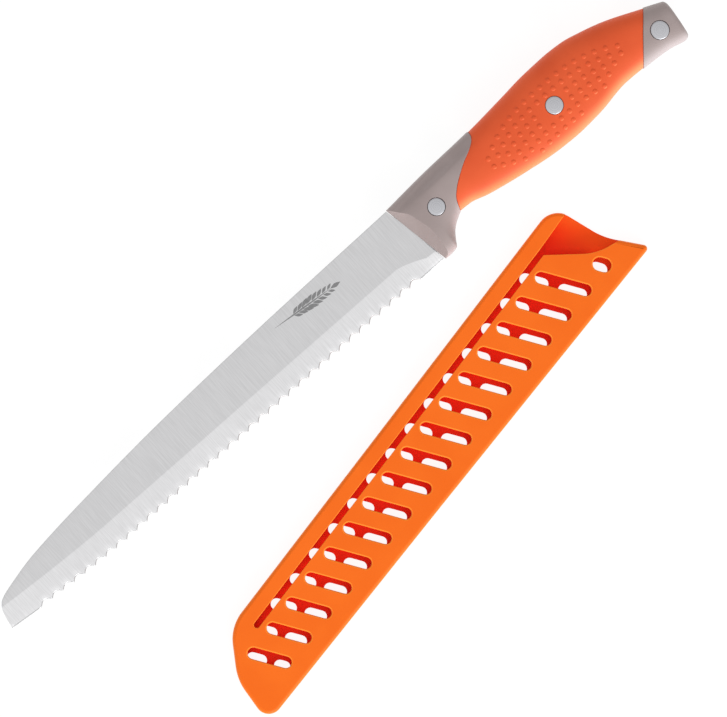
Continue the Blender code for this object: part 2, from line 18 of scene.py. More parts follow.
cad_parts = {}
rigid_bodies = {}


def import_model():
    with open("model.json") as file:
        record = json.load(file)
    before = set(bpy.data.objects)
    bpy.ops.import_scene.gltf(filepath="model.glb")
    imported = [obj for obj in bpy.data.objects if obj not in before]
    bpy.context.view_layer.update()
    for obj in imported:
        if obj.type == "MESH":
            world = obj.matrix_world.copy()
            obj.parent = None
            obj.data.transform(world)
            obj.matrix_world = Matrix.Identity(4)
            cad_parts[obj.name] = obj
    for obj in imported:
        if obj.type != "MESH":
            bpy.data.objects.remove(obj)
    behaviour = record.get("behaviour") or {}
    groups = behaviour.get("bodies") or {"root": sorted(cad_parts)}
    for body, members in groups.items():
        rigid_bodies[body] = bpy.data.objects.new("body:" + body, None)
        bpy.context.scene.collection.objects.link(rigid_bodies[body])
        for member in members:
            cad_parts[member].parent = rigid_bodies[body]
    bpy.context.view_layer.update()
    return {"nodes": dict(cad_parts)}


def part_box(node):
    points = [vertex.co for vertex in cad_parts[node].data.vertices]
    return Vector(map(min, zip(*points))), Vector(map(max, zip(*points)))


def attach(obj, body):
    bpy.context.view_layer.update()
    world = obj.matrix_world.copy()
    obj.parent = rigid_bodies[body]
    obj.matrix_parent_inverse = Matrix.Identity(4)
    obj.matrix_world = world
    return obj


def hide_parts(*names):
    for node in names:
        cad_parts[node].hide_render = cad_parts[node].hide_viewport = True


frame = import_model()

MM = 0.001
GAP = 0.3                     # clearance between neighbouring pieces
SEAM_HALF = 0.03              # half the hairline between the visible mouldings
MERGE = 0.0005                # points closer than this are one point

# Blade
BLADE_THICK = 2.0
EDGE_THICK = 0.3
TIP_X = -203.6
TIP_Y = -22.6
EDGE_Y = -26.3                # line through the tooth tips
TIP_BEND_X = -150.0           # from here the edge rises to the tip
TIP_BEND = 1.6                # how late that rise comes
BEVEL_Y = -17.1
BEVEL_TIP_RISE = 2.8
BEVEL_DROP = 0.9              # how far the bevel line falls towards the heel
HEEL_BEVEL_X = -12.0          # from here the bevel runs out to the heel
HEEL_BEVEL_RUN = 16.0
HEEL_BEVEL_FALL = 6.4
HEEL_BEND = 1.4
TOOTH_COUNT = 37
TOOTH_FIRST_X = -190.3
TOOTH_LAST_X = -7.5
TOOTH_DEPTH = 1.6
TOOTH_ROUND = 1.7             # 1 is a V notch, 2 is a bowl
TOOTH_STEPS = 12
BEVEL_ROW = 6                 # the row of the blade's skin where the bevel starts
HONED = 0.38                  # width of the honed line along the edge
SPINE_ROUND = 0.3
CREASE = 0.12                 # half the softened width of a crease
NOSE_LENGTH = 4.6             # the blunt nose, which has its rings close together
POINT_X = -199.0              # from here to the first tooth the edge is plain
HEEL_X = -0.6
TANG_END_X = 122.5
TANG_STATIONS = (6.0, 9.0, 12.0, 16.0, 20.0, 30.0, 45.0, 58.0, 71.0, 83.0, 95.0, 103.0, 110.0,
                 TANG_END_X)

# Handle
LIP = 1.6                     # half height of the bolster where it meets the blade
SQUARENESS = 2.6              # exponent of the handle's cross-section
GRIP_WALL = 2.6
GRIP_SINK = 0.31              # the soft grip lies this much under the hard mouldings' surface
SEAM_ROUND = 0.25
BUTT_ROUND = 1.6
RING_POINTS = 96
LEDGE_WIDTH = 3.3             # flat strip along the spine side of the bolster
LEDGE_FADES = (22.0, 46.0)    # X where the strip starts to fade into the grip, and is gone
LEDGE_SOFT = 0.12             # how softly the strip meets the round of the bolster
LEDGE_START = 0.8             # it takes hold over this distance from the top
GRIP_LENGTH = 85.0            # about, for the rounds at its ends
CAP_LENGTH = 13.0
THROUGH = 12.0                # a height clear of the handle

# Rivets: place, and diameter of the visible head
RIVETS = {"front": (14.4, -10.4, 6.5), "middle": (71.0, -11.3, 6.6), "rear": (118.0, -16.3, 6.9)}
HEAD_THICK = 1.6
SOCKET_DIAMETER = 4.4
STUD_DIAMETER = 3.0
STUD_REACH = 4.0
RIVET_STEPS = 64
SEAT_GAP = 0.16
HEAD_SINK = 0.05              # the heads end this much under the handle's surface
HEAD_CROWN = 0.22

# Raised dots of the grip, in rows along it: first X, last X and how many
DOT_ROWS = ((40.0, 102.6, 17), (39.8, 101.8, 17), (42.8, 97.6, 15), (46.2, 93.4, 13),
            (50.2, 89.4, 11), (57.0, 76.6, 6))
DOT_TOP_Y = -2.9              # the first row's height at its middle
DOT_ROW_PITCH = 3.4
DOT_MIDDLE_X = 71.0
DOT_DROOP = 7.0               # how far a row's ends fall, at DOT_DROOP_X from its middle
DOT_DROOP_X = 31.0
DOT_BEND = 2.7
DOT_CLEAR = (7.2, 4.9)        # half axes of the bare patch round the middle rivet
DOT_RADIUS = 1.0
DOT_RISE = 0.39
DOT_SINK = 0.08

# Cover
COVER_AT = (-158.5, -94.4)    # from the knife's origin
COVER_TURN = math.radians(10.25)
COVER_THICK = 6.4
COVER_WALL = 1.6
COVER_RIM = 2.2
COVER_INSET = 0.06            # the drawn outline lies this much inside the cover's full size
COVER_ROUND = 1.5             # the cover's outer edge
BACK_ROUND = 1.0
SLOT_ROUND = 0.55             # rims of the openings
MOUTH_ROUND = 0.3
SLOT_ROWS = 16
SLOT_FIRST = (191.8, -2.0)    # middle of the slot nearest the mouth
SLOT_PITCH = 11.6
SLOT_LEAN = math.radians(22.7)
SLOT_WIDTH = 4.3
SLOT_LENGTHS = (21.3, 16.6)   # at the mouth and at the tip end
BACK_SHIFT = 2.1              # the back openings sit this much nearer the tip
# The two back slots of a row as (from Y, to Y): at the mouth, at the tip end, in the last row
BACK_SLOTS = (((12.0, 1.9), (9.8, 0.9), (4.8, -2.2)), ((-1.6, -11.6), (-1.8, -9.2), (-4.8, -10.4)))
SHORT_ROWS_X = 35.0           # rows nearer the tip than this stay clear of the slit
SHORT_ROW_TOP = 7.0
SLIT_WIDTH = 2.3
SLIT_ENDS = ((24.4, 9.1), (225.0, 11.7))
HANG_HOLE = (206.1, -8.8)
HANG_SIZE = (6.9, 5.0)
RAMP_RADIUS = 80.0            # hollow that leads the blade into the mouth
RAMP_DEPTH = 0.9
RAMP_AT = (216.0, 7.0)
RAMP_LENGTH = 34.0
RAMP_TURN = math.radians(-52)

# Mark on the blade, a plain ear of wheat
EAR_AT = (-59.5, -4.3)        # the foot of its stem
EAR_END = (-30.9, -7.3)
EAR_GRAINS = 8                # on each side
GRAIN_SIZE = (4.3, 1.5)
STEM_WIDTH = 0.62
MARK_RISE = 0.02

# Colour and finish
NOISE_LOW, NOISE_HIGH = 0.3, 0.7   # the span in which nearly all of a noise lies
SHELL_GRAIN = 2600.0          # grains of the cover's plastic to a metre
PAINTED_RIM_LIGHT_DEPTH = 0.9               # how far down a rim its painted light, a lighter tone, reaches
MOUTH_SHADE_FADE_X = (197, 215)     # the painted shade of the cover's inside fades from red to orange between these, towards the mouth
BELLY_PAINTED_LIGHT_FROM = 0.40        # how squarely a face looks to the belly before painted light makes it paler

# Studio, in metres and watts
ROOM_LIGHT = 0.80             # brightness of the room straight above
ROOM_SLANT = (-0.20, -0.27, 0.0)   # brighter towards the blade's tip and the belly side
KEY_AT = (-0.40, -1.25, 0.70)
KEY_SIZE = (1.3, 0.8)
KEY_POWER = 12.0
FLOOR_SIZE = 3.0
FLOOR_DROP = 0.0002           # keeps the floor just clear of what lies on it
FLOOR_GLOW = 0.90

# View
VIEW_WIDTH = 265.7            # what the picture spans, at the blade's height
VIEW_CENTRE = (-42.2, -34.1)  # in the knife frame
VIEW_TURN = math.radians(-41.6)
CAMERA_HEIGHT = 2.4


def smooth_curve(*points):
    """A function that runs smoothly through (x, y) points and goes on straight past the ends."""
    xs = [x for x, _ in points]
    ys = [y for _, y in points]
    steps = [b - a for a, b in zip(xs, xs[1:])]
    secants = [(b - a) / step for a, b, step in zip(ys, ys[1:], steps)]
    slopes = [secants[0]]
    for before, after in zip(secants, secants[1:]):
        turns_back = before * after <= 0
        slopes.append(0.0 if turns_back else 2 * before * after / (before + after))
    slopes.append(secants[-1])

    def value(x):
        if x <= xs[0]:
            return ys[0] + slopes[0] * (x - xs[0])
        if x >= xs[-1]:
            return ys[-1] + slopes[-1] * (x - xs[-1])
        i = bisect.bisect_right(xs, x) - 1
        t = (x - xs[i]) / steps[i]
        rise = ys[i + 1] - ys[i]
        start = steps[i] * slopes[i] - rise
        end = rise - steps[i] * slopes[i + 1]
        return ys[i] + t * rise + t * (1 - t) * ((1 - t) * start + t * end)

    return value


handle_top = smooth_curve((-1, 0.8), (20, 2.1), (40, 2.7), (58, 4.0), (70, 5.0), (80, 5.2),
                          (88, 4.7), (96, 2.9), (104, 0.5), (119, -5.9), (127, -9.5))
handle_bottom = smooth_curve((3, -26.7), (7, -26.9), (10.2, -26.4), (12, -24.0), (14.2, -21.2),
                             (17.2, -19.0), (20.5, -17.6), (24.5, -17.8), (32, -19.9), (48, -23.0),
                             (62, -24.9), (71, -25.3), (82, -24.7), (97, -22.7), (106, -23.0),
                             (116, -23.8), (124, -25.5), (127, -25.6))
handle_half = smooth_curve((0, 6.6), (8, 7.4), (20, 7.8), (40, 8.0), (58, 8.8), (72, 9.2),
                           (90, 8.8), (106, 8.2), (118, 7.9), (127, 7.7))
tang_top = smooth_curve((1, -3.0), (20, -3.0), (45, -4.0), (71, -5.0), (95, -6.5), (108, -9.5),
                        (TANG_END_X, -12.4))
tang_bottom = smooth_curve((4, -21.0), (12, -17.5), (20, -14.5), (30, -14.6), (45, -16.0),
                           (71, -17.6), (95, -18.0), (110, -20.0), (TANG_END_X, -20.4))

# The blade's back: nearly straight, then curving down to a blunt nose
spine_y = smooth_curve((TIP_X, TIP_Y), (-202.7, -17.9), (-202.0, -15.6), (-200.9, -13.6),
                       (-199.0, -12.1), (-192.0, -10.0), (-180.0, -7.5), (-150.0, -4.5),
                       (-110.0, -1.9), (-60.0, -0.3), (0.0, 0.6))

# Seams across the handle, each an X for a given Y
bolster_front = smooth_curve((-24.5, 4.2), (0.9, -0.2))
facet_crease = smooth_curve((-26.5, 5.9), (-24.7, 6.9), (-21.0, 7.4), (-16.5, 7.6), (-9.7, 6.2),
                            (-5.5, 4.8), (-2.9, 2.8), (0.6, 0.2))
bolster_back = smooth_curve((-17.7, 20.0), (-13.3, 21.7), (-10.3, 24.4), (-8.2, 27.2), (-4.9, 32.5),
                            (-2.4, 37.6), (-0.6, 40.0), (1.0, 41.0), (2.7, 41.2))
cap_front = smooth_curve((-23.1, 104.4), (-14.6, 111.4), (-6.0, 119.1))
butt = smooth_curve((-25.5, 125.1), (-9.8, 126.7))

# Height of the strip along the bolster's spine side, by the distance from the top
ledge_height = smooth_curve((0.0, 4.3), (LEDGE_WIDTH - 0.7, 4.8), (LEDGE_WIDTH, 5.1),
                            (LEDGE_WIDTH + 1.6, 6.9), (LEDGE_WIDTH + 3.0, 8.6))


def offset_seam(seam, distance):
    """The same seam, moved square to itself by a distance towards the butt."""
    def moved(y):
        slope = (seam(y + 0.2) - seam(y - 0.2)) / 0.4
        return seam(y) + distance * math.hypot(1, slope)

    return moved


def blend_between(low, high, value):
    """0 below low, 1 above high, and a smooth rise between them."""
    t = min(1.0, max(0.0, (value - low) / (high - low)))
    return t * t * (3 - 2 * t)


def mix(a, b, share):
    return a + (b - a) * share


# Places of the two frames

blade_low, blade_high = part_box("blade")
knife_origin = Vector((blade_low.x - TIP_X * MM, blade_low.y - EDGE_Y * MM,
                       (blade_low.z + blade_high.z) / 2))
cover_origin = Vector((knife_origin.x + COVER_AT[0] * MM, knife_origin.y + COVER_AT[1] * MM, 0))
KNIFE = Matrix.Translation(knife_origin) @ Matrix.Scale(MM, 4)
COVER = (Matrix.Translation(cover_origin) @ Matrix.Rotation(COVER_TURN, 4, "Z")
         @ Matrix.Scale(MM, 4))


# Mesh tools

def skin(rings, finish=None, close_ends=False):
    """A skin through rings of points: a grid is laid over them and points that meet are merged."""
    bm = bmesh.new()
    along = len(rings) - 1
    around = len(rings[0])
    bmesh.ops.create_grid(bm, x_segments=along, y_segments=around, size=0.5)
    if finish:
        for face in bm.faces:
            middle = face.calc_center_median()
            face.material_index = finish(int((middle.x + 0.5) * along),
                                         int((middle.y + 0.5) * around))
    for vert in bm.verts:
        ring = rings[round((vert.co.x + 0.5) * along)]
        vert.co = ring[round((vert.co.y + 0.5) * around) % around]
    bmesh.ops.remove_doubles(bm, verts=bm.verts, dist=MERGE)
    bmesh.ops.dissolve_degenerate(bm, dist=MERGE, edges=bm.edges)
    if close_ends:
        open_edges = [edge for edge in bm.edges if edge.is_boundary]
        bmesh.ops.holes_fill(bm, edges=open_edges, sides=0)
    bmesh.ops.recalc_face_normals(bm, faces=bm.faces)
    return bm


def flatten(ring):
    """The same ring pressed onto the middle plane, where its two halves meet and close."""
    return [(x, y, 0.0) for x, y, _ in ring]


def make_object(bm, name, place, materials, smooth_angle=32):
    """Places a bmesh, and makes it an object with smooth faces between its sharp edges."""
    bmesh.ops.transform(bm, matrix=place, verts=bm.verts)
    mesh = bpy.data.meshes.new(name)
    bm.to_mesh(mesh)
    bm.free()
    for material in materials:
        mesh.materials.append(material)
    mesh.shade_smooth()
    mesh.set_sharp_from_angle(angle=math.radians(smooth_angle))
    item = bpy.data.objects.new(name, mesh)
    bpy.context.scene.collection.objects.link(item)
    return item


def cut_away(item, *cutters):
    """Cuts closed shapes out of an object for good; the cut faces keep the cutter's material."""
    for cutter in cutters:
        modifier = item.modifiers.new("cut", "BOOLEAN")
        modifier.operation = "DIFFERENCE"
        modifier.solver = "EXACT"
        modifier.material_mode = "TRANSFER"
        modifier.object = cutter
    bpy.context.view_layer.update()
    seen = item.evaluated_get(bpy.context.evaluated_depsgraph_get())
    mesh = bpy.data.meshes.new_from_object(seen)
    item.modifiers.clear()
    item.data = mesh


def settle_shading(item, smooth_angle=32):
    """Keeps large flat faces flat beside their rounded edges."""
    item.data.shade_smooth()
    item.data.set_sharp_from_angle(angle=math.radians(smooth_angle))
    weighted = item.modifiers.new("flat faces first", "WEIGHTED_NORMAL")
    weighted.keep_sharp = True


def turned(profile, x, y, steps=RIVET_STEPS):
    """A shape turned on a lathe: a (radius, height) profile spun round an upright axis."""
    bm = bmesh.new()
    points = [bm.verts.new((x + radius, y, z)) for radius, z in profile]
    edges = [bm.edges.new(pair) for pair in zip(points, points[1:])]
    bmesh.ops.spin(bm, geom=points + edges, cent=(x, y, 0), axis=(0, 0, 1), angle=2 * math.pi,
                   steps=steps, use_merge=True)
    bmesh.ops.remove_doubles(bm, verts=bm.verts, dist=MERGE)
    bmesh.ops.recalc_face_normals(bm, faces=bm.faces)
    return bm


def join_into(bm, other):
    """Adds a second bmesh to the first and frees it."""
    mesh = bpy.data.meshes.new("joined")
    other.to_mesh(mesh)
    other.free()
    bm.from_mesh(mesh)
    bpy.data.meshes.remove(mesh)


# Shader tools

def add_node(tree, kind, inputs=None, **settings):
    """Adds a node; an input is a socket to link from or a value to set."""
    node = tree.nodes.new(kind)
    for name, value in settings.items():
        setattr(node, name, value)
    for name, value in (inputs or {}).items():
        if isinstance(value, bpy.types.NodeSocket):
            tree.links.new(value, node.inputs[name])
        else:
            node.inputs[name].default_value = value
    return node


def place_group(tree, group, inputs):
    return add_node(tree, "ShaderNodeGroup", inputs, node_tree=group)


def new_group(name, inputs, outputs):
    tree = bpy.data.node_groups.new(name, "ShaderNodeTree")
    for label, kind in inputs:
        tree.interface.new_socket(label, in_out="INPUT", socket_type="NodeSocket" + kind)
    for label, kind in outputs:
        tree.interface.new_socket(label, in_out="OUTPUT", socket_type="NodeSocket" + kind)
    return tree, tree.nodes.new("NodeGroupInput"), tree.nodes.new("NodeGroupOutput")


def grind_lines_group():
    """Fine scratches that run one way: close together across, long along."""
    tree, given, result = new_group(
        "grind_lines", (("Vector", "Vector"), ("Across", "Float"), ("Along", "Float")),
        (("Lines", "Float"), ("Clouds", "Float")))
    stretch = add_node(tree, "ShaderNodeCombineXYZ", {
        "X": given.outputs["Across"], "Y": given.outputs["Along"], "Z": given.outputs["Along"]})
    place = add_node(tree, "ShaderNodeVectorMath", {
        0: given.outputs["Vector"], 1: stretch.outputs[0]}, operation="MULTIPLY")
    lines = add_node(tree, "ShaderNodeTexNoise", {
        "Vector": place.outputs[0], "Scale": 1.0, "Detail": 3.0, "Roughness": 0.65})
    clouds = add_node(tree, "ShaderNodeTexNoise", {
        "Vector": given.outputs["Vector"], "Scale": 45.0, "Detail": 2.0})
    tree.links.new(lines.outputs["Fac"], result.inputs["Lines"])
    tree.links.new(clouds.outputs["Fac"], result.inputs["Clouds"])
    return tree


def moulded_skin_group():
    """The fine grain that a mould leaves, and a slow drift in tone."""
    tree, given, result = new_group(
        "moulded_skin", (("Vector", "Vector"), ("Grain", "Float")),
        (("Height", "Float"), ("Tone", "Float")))
    grain = add_node(tree, "ShaderNodeTexNoise", {
        "Vector": given.outputs["Vector"], "Scale": given.outputs["Grain"], "Detail": 2.0})
    pits = add_node(tree, "ShaderNodeTexVoronoi", {
        "Vector": given.outputs["Vector"], "Scale": given.outputs["Grain"]})
    height = add_node(tree, "ShaderNodeMath", {
        0: grain.outputs["Fac"], 1: pits.outputs["Distance"]}, operation="ADD")
    drift = add_node(tree, "ShaderNodeTexNoise", {
        "Vector": given.outputs["Vector"], "Scale": 60.0, "Detail": 3.0})
    tree.links.new(height.outputs[0], result.inputs["Height"])
    tree.links.new(drift.outputs["Fac"], result.inputs["Tone"])
    return tree


def colour_run_group():
    """A colour that runs from one to another as a value goes from its start to its end."""
    tree, given, result = new_group(
        "colour_run", (("Value", "Float"), ("Start", "Float"), ("End", "Float"),
                       ("From", "Color"), ("To", "Color")), (("Colour", "Color"),))
    share = add_node(tree, "ShaderNodeMapRange", {
        "Value": given.outputs["Value"], "From Min": given.outputs["Start"],
        "From Max": given.outputs["End"]}, interpolation_type="SMOOTHSTEP")
    colour = add_node(tree, "ShaderNodeMix", {
        0: share.outputs[0], 6: given.outputs["From"], 7: given.outputs["To"]}, data_type="RGBA")
    tree.links.new(colour.outputs[2], result.inputs["Colour"])
    return tree


GRIND_LINES = grind_lines_group()
MOULDED_SKIN = moulded_skin_group()
COLOUR_RUN = colour_run_group()


def new_material(name, roughness, metallic=0.0, gloss=0.5):
    """A material with its shader, and object coordinates to lay patterns on."""
    material = bpy.data.materials.new(name)
    material.use_nodes = True
    tree = material.node_tree
    shader = tree.nodes["Principled BSDF"]
    shader.inputs["Roughness"].default_value = roughness
    shader.inputs["Metallic"].default_value = metallic
    shader.inputs["Specular IOR Level"].default_value = gloss
    coordinates = tree.nodes.new("ShaderNodeTexCoord").outputs["Object"]
    return material, tree, shader, coordinates


def steel_shade(level):
    """The cool grey of stainless steel."""
    return (level, level * 0.996, level * 1.008, 1.0)


def feed_bump(tree, shader, height, distance):
    bump = add_node(tree, "ShaderNodeBump", {
        "Height": height, "Distance": distance, "Strength": 1.0})
    tree.links.new(bump.outputs[0], shader.inputs["Normal"])


def feed_range(tree, value, low, high, socket):
    """Spreads a value between low and high and feeds it to a socket."""
    spread = add_node(tree, "ShaderNodeMapRange", {
        "Value": value, "From Min": NOISE_LOW, "From Max": NOISE_HIGH,
        "To Min": low, "To Max": high})
    tree.links.new(spread.outputs[0], socket)


def drift_colour(tree, noise, dark, light):
    """A colour that wanders between two tones as a noise does."""
    run = place_group(tree, COLOUR_RUN, {
        "Value": noise, "Start": NOISE_LOW, "End": NOISE_HIGH, "From": dark, "To": light})
    return run.outputs[0]


def ground_steel(name, dark, light, across, roughness, depth):
    """Stainless steel with grind lines square to the edge."""
    material, tree, shader, coordinates = new_material(name, roughness[0], 1.0)
    grind = place_group(tree, GRIND_LINES, {"Vector": coordinates, "Across": across, "Along": 90.0})
    colour = drift_colour(tree, grind.outputs["Lines"], steel_shade(dark), steel_shade(light))
    tree.links.new(colour, shader.inputs["Base Color"])
    feed_range(tree, grind.outputs["Clouds"], *roughness, shader.inputs["Roughness"])
    feed_bump(tree, shader, grind.outputs["Lines"], depth)
    return material


def turned_steel(name, x, y):
    """Stainless steel faced on a lathe, with rings round its own centre."""
    material, tree, shader, coordinates = new_material(name, 0.3, 1.0)
    centre = KNIFE @ Vector((x, y, 0))
    centred = add_node(tree, "ShaderNodeMapping", {
        "Vector": coordinates, "Location": (-centre.x, -centre.y, 0)})
    flat = add_node(tree, "ShaderNodeVectorMath", {
        0: centred.outputs[0], 1: (1.0, 1.0, 0.0)}, operation="MULTIPLY")
    radius = add_node(tree, "ShaderNodeVectorMath", {0: flat.outputs[0]}, operation="LENGTH")
    along = add_node(tree, "ShaderNodeCombineXYZ", {"X": radius.outputs["Value"]})
    grind = place_group(tree, GRIND_LINES, {
        "Vector": along.outputs[0], "Across": 5200.0, "Along": 0.0})
    colour = drift_colour(tree, grind.outputs["Lines"], (0.50, 0.50, 0.53, 1),
                          (0.72, 0.72, 0.75, 1))
    tree.links.new(colour, shader.inputs["Base Color"])
    feed_range(tree, grind.outputs["Lines"], 0.22, 0.38, shader.inputs["Roughness"])
    feed_bump(tree, shader, grind.outputs["Lines"], 0.00001)
    return material


def moulded_plastic(name, dark, light, roughness, grain, depth, gloss, belly=None):
    """Plastic with a fine moulded grain, a slight drift in colour, and painted light: faces that
    look to the belly are painted paler.
    """
    material, tree, shader, coordinates = new_material(name, roughness[0], gloss=gloss)
    moulded = place_group(tree, MOULDED_SKIN, {"Vector": coordinates, "Grain": grain})
    colour = drift_colour(tree, moulded.outputs["Tone"], (*dark, 1), (*light, 1))
    # painted light: faces that look to the belly are painted a paler tone, as if lit from that side
    if belly:
        painted_light_facing = add_node(tree, "ShaderNodeVectorMath", {
            0: tree.nodes.new("ShaderNodeNewGeometry").outputs["Normal"], 1: (0.0, -1.0, 0.0)},
            operation="DOT_PRODUCT")
        colour = place_group(tree, COLOUR_RUN, {
            "Value": painted_light_facing.outputs["Value"], "Start": BELLY_PAINTED_LIGHT_FROM, "End": 1.0,
            "From": colour, "To": (*belly, 1)}).outputs[0]
    tree.links.new(colour, shader.inputs["Base Color"])
    feed_range(tree, moulded.outputs["Tone"], *roughness, shader.inputs["Roughness"])
    feed_bump(tree, shader, moulded.outputs["Height"], depth)
    return material


def from_cover_middle(tree, coordinates):
    """Distance from the cover's middle plane, and that distance at its outer faces."""
    split = add_node(tree, "ShaderNodeSeparateXYZ", {"Vector": coordinates})
    above = add_node(tree, "ShaderNodeMath", {
        0: split.outputs["Z"], 1: COVER_THICK / 2 * MM}, operation="SUBTRACT")
    depth = add_node(tree, "ShaderNodeMath", {0: above.outputs[0]}, operation="ABSOLUTE")
    return depth.outputs[0], COVER_THICK / 2 * MM


def between_places(tree, coordinates, place, start, end):
    """How far a point lies along a line, and the same for the line's start and end."""
    first, last = place @ Vector(start), place @ Vector(end)
    way = (last - first).normalized()
    reach = add_node(tree, "ShaderNodeVectorMath", {0: coordinates, 1: tuple(way)},
                     operation="DOT_PRODUCT")
    return {"Value": reach.outputs["Value"], "Start": first.dot(way), "End": last.dot(way)}


def outer_plastic(name):
    """The cover's outside: plain orange faces, with painted light that makes them lighter over the
    rounded edge.
    """
    material, tree, shader, coordinates = new_material(name, 0.38, gloss=0.20)
    moulded = place_group(tree, MOULDED_SKIN, {"Vector": coordinates, "Grain": SHELL_GRAIN})
    face = drift_colour(tree, moulded.outputs["Tone"], (0.91, 0.145, 0.004, 1),
                        (0.94, 0.160, 0.006, 1))
    depth, half = from_cover_middle(tree, coordinates)
    # painted light: the rounded edge is painted a lighter orange
    run = place_group(tree, COLOUR_RUN, {
        "Value": depth, "Start": half - PAINTED_RIM_LIGHT_DEPTH * MM, "End": half - 0.02 * MM,
        "From": (0.97, 0.215, 0.014, 1), "To": face})
    tree.links.new(run.outputs[0], shader.inputs["Base Color"])
    feed_bump(tree, shader, moulded.outputs["Height"], 0.000008)
    return material


def inside_plastic_painted_shade(name):
    """The cover's openings, with painted light and shade: lighter orange painted on the rims,
    orange at the mouth, and painted shade deepening to red inside.
    """
    material, tree, shader, coordinates = new_material(name, 0.5, gloss=0.08)
    # painted shade: deep red inside the cover, fading to orange towards the mouth
    inside = place_group(tree, COLOUR_RUN, {
        **between_places(tree, coordinates, COVER, *((x, 0, 0) for x in MOUTH_SHADE_FADE_X)),
        "From": (0.99, 0.030, 0.007, 1), "To": (0.97, 0.085, 0.007, 1)})
    # painted light: the rims of the openings are painted a lighter orange
    depth, half = from_cover_middle(tree, coordinates)
    run = place_group(tree, COLOUR_RUN, {
        "Value": depth, "Start": half - PAINTED_RIM_LIGHT_DEPTH * MM, "End": half - 0.1 * MM,
        "From": inside.outputs[0], "To": (0.98, 0.27, 0.03, 1)})
    tree.links.new(run.outputs[0], shader.inputs["Base Color"])
    moulded = place_group(tree, MOULDED_SKIN, {"Vector": coordinates, "Grain": SHELL_GRAIN})
    feed_bump(tree, shader, moulded.outputs["Height"], 0.00001)
    return material


# Steel: dark and light tone, lines to a metre, roughness from and to, depth of the lines in metres
satin_steel = ground_steel("satin_steel", 0.70, 0.78, 2600.0, (0.32, 0.40), 0.000003)
# the bevel's grind lines are its own; its lighter tone than the flat is painted light
bevel_steel_painted_light = ground_steel("bevel_steel_painted_light", 0.76, 0.86, 2600.0, (0.32, 0.40), 0.000002)
honed_steel = ground_steel("honed_steel", 0.42, 0.50, 3200.0, (0.24, 0.30), 0.000002)
etched_steel = ground_steel("etched_steel", 0.26, 0.32, 2600.0, (0.50, 0.60), 0.000003)
# Plastic: dark and light tone, roughness from and to, grains to a metre, their depth in metres,
# gloss, and the painted light tone of faces that look to the belly side
grey_plastic = moulded_plastic("grey_plastic", (0.34, 0.275, 0.265), (0.38, 0.31, 0.30),
                               (0.42, 0.50), 2400.0, 0.000016, 0.35, (0.58, 0.50, 0.50))
orange_rubber = moulded_plastic("orange_rubber", (0.76, 0.095, 0.022), (0.81, 0.110, 0.028),
                                (0.46, 0.56), 2200.0, 0.000014, 0.30, (0.98, 0.34, 0.14))
orange_plastic = outer_plastic("orange_plastic")
core_plastic = moulded_plastic("core_plastic", (0.05, 0.05, 0.05), (0.07, 0.07, 0.07),
                               (0.45, 0.55), 2400.0, 0.000012, 0.30)
painted_shade_inside = inside_plastic_painted_shade("painted_shade_inside")


# Blade

def tip_rise(x):
    """How far the edge has risen towards the tip, from 0 to 1."""
    return (max(0.0, TIP_BEND_X - x) / (TIP_BEND_X - TIP_X)) ** TIP_BEND


def edge_y(x):
    return EDGE_Y + (TIP_Y - EDGE_Y) * tip_rise(x)


def bevel_y(x):
    """The line where the flat side turns into the ground bevel."""
    fall = BEVEL_DROP * max(0.0, x - TIP_BEND_X) / (-TIP_BEND_X)
    run_out = max(0.0, x - HEEL_BEVEL_X) / HEEL_BEVEL_RUN
    return BEVEL_Y + BEVEL_TIP_RISE * tip_rise(x) - fall - HEEL_BEVEL_FALL * run_out ** HEEL_BEND


def half_thickness(x, y):
    """Half the blade's thickness: full above the bevel line, thin at the edge."""
    bevel = bevel_y(x)
    if y >= bevel:
        return BLADE_THICK / 2
    share = min(1.0, (bevel - y) / (bevel - edge_y(x)))
    return mix(BLADE_THICK, EDGE_THICK, share) / 2


def notch(x):
    """How far a scallop lifts the edge."""
    pitch = (TOOTH_LAST_X - TOOTH_FIRST_X) / TOOTH_COUNT
    if not TOOTH_FIRST_X < x < TOOTH_LAST_X:
        return 0.0
    across = 2 * (((x - TOOTH_FIRST_X) / pitch) % 1.0) - 1
    return TOOTH_DEPTH * (1 - abs(across) ** TOOTH_ROUND)


def both_sides(rows):
    """A closed ring from (x, y, z) rows that start and end on the middle plane."""
    return rows + [(x, y, -z) for x, y, z in rows[-2:0:-1]]


def blade_ring(x, shear=lambda y: 0.0):
    """One cross-section, from the spine down to the edge and back up the other side."""
    spine = max(spine_y(x), edge_y(x) + 0.04)
    edge = edge_y(x) + notch(x)
    honed = min(edge + HONED, spine - 0.01)
    corner = min(SPINE_ROUND, half_thickness(x, spine) / 2)
    shoulder = spine - corner
    bevel = min(bevel_y(x), shoulder - 0.02)
    under = bevel - CREASE
    flats = [mix(shoulder, bevel + CREASE, share) for share in (0, 1 / 3, 2 / 3, 1)]
    ground = [mix(under, honed, share) for share in (0, 1 / 3, 2 / 3, 1)]
    rows = [(spine, 0.0), (spine, half_thickness(x, shoulder) - corner),
            (spine - corner * 0.3, half_thickness(x, shoulder) - corner * 0.3)]
    for y in flats + ground:
        inside = min(max(y, edge), shoulder)
        rows.append((inside, half_thickness(x, inside)))
    rows += [(edge, 0.03), (edge, 0.0)]
    return both_sides([(x + shear(y), y, z) for y, z in rows])


def tang_ring(x, shear=lambda y: 0.0):
    """One cross-section of the tang, with as many points as the blade's."""
    top, bottom, half = tang_top(x), tang_bottom(x), BLADE_THICK / 2
    rows = [(top, 0.0), (top, half - 0.1), (top - 0.03, half - 0.03)]
    rows += [(mix(top - 0.1, bottom + 0.1, step / 7), half) for step in range(8)]
    rows += [(bottom, half - 0.1), (bottom, 0.0)]
    return both_sides([(x + shear(y), y, z) for y, z in rows])


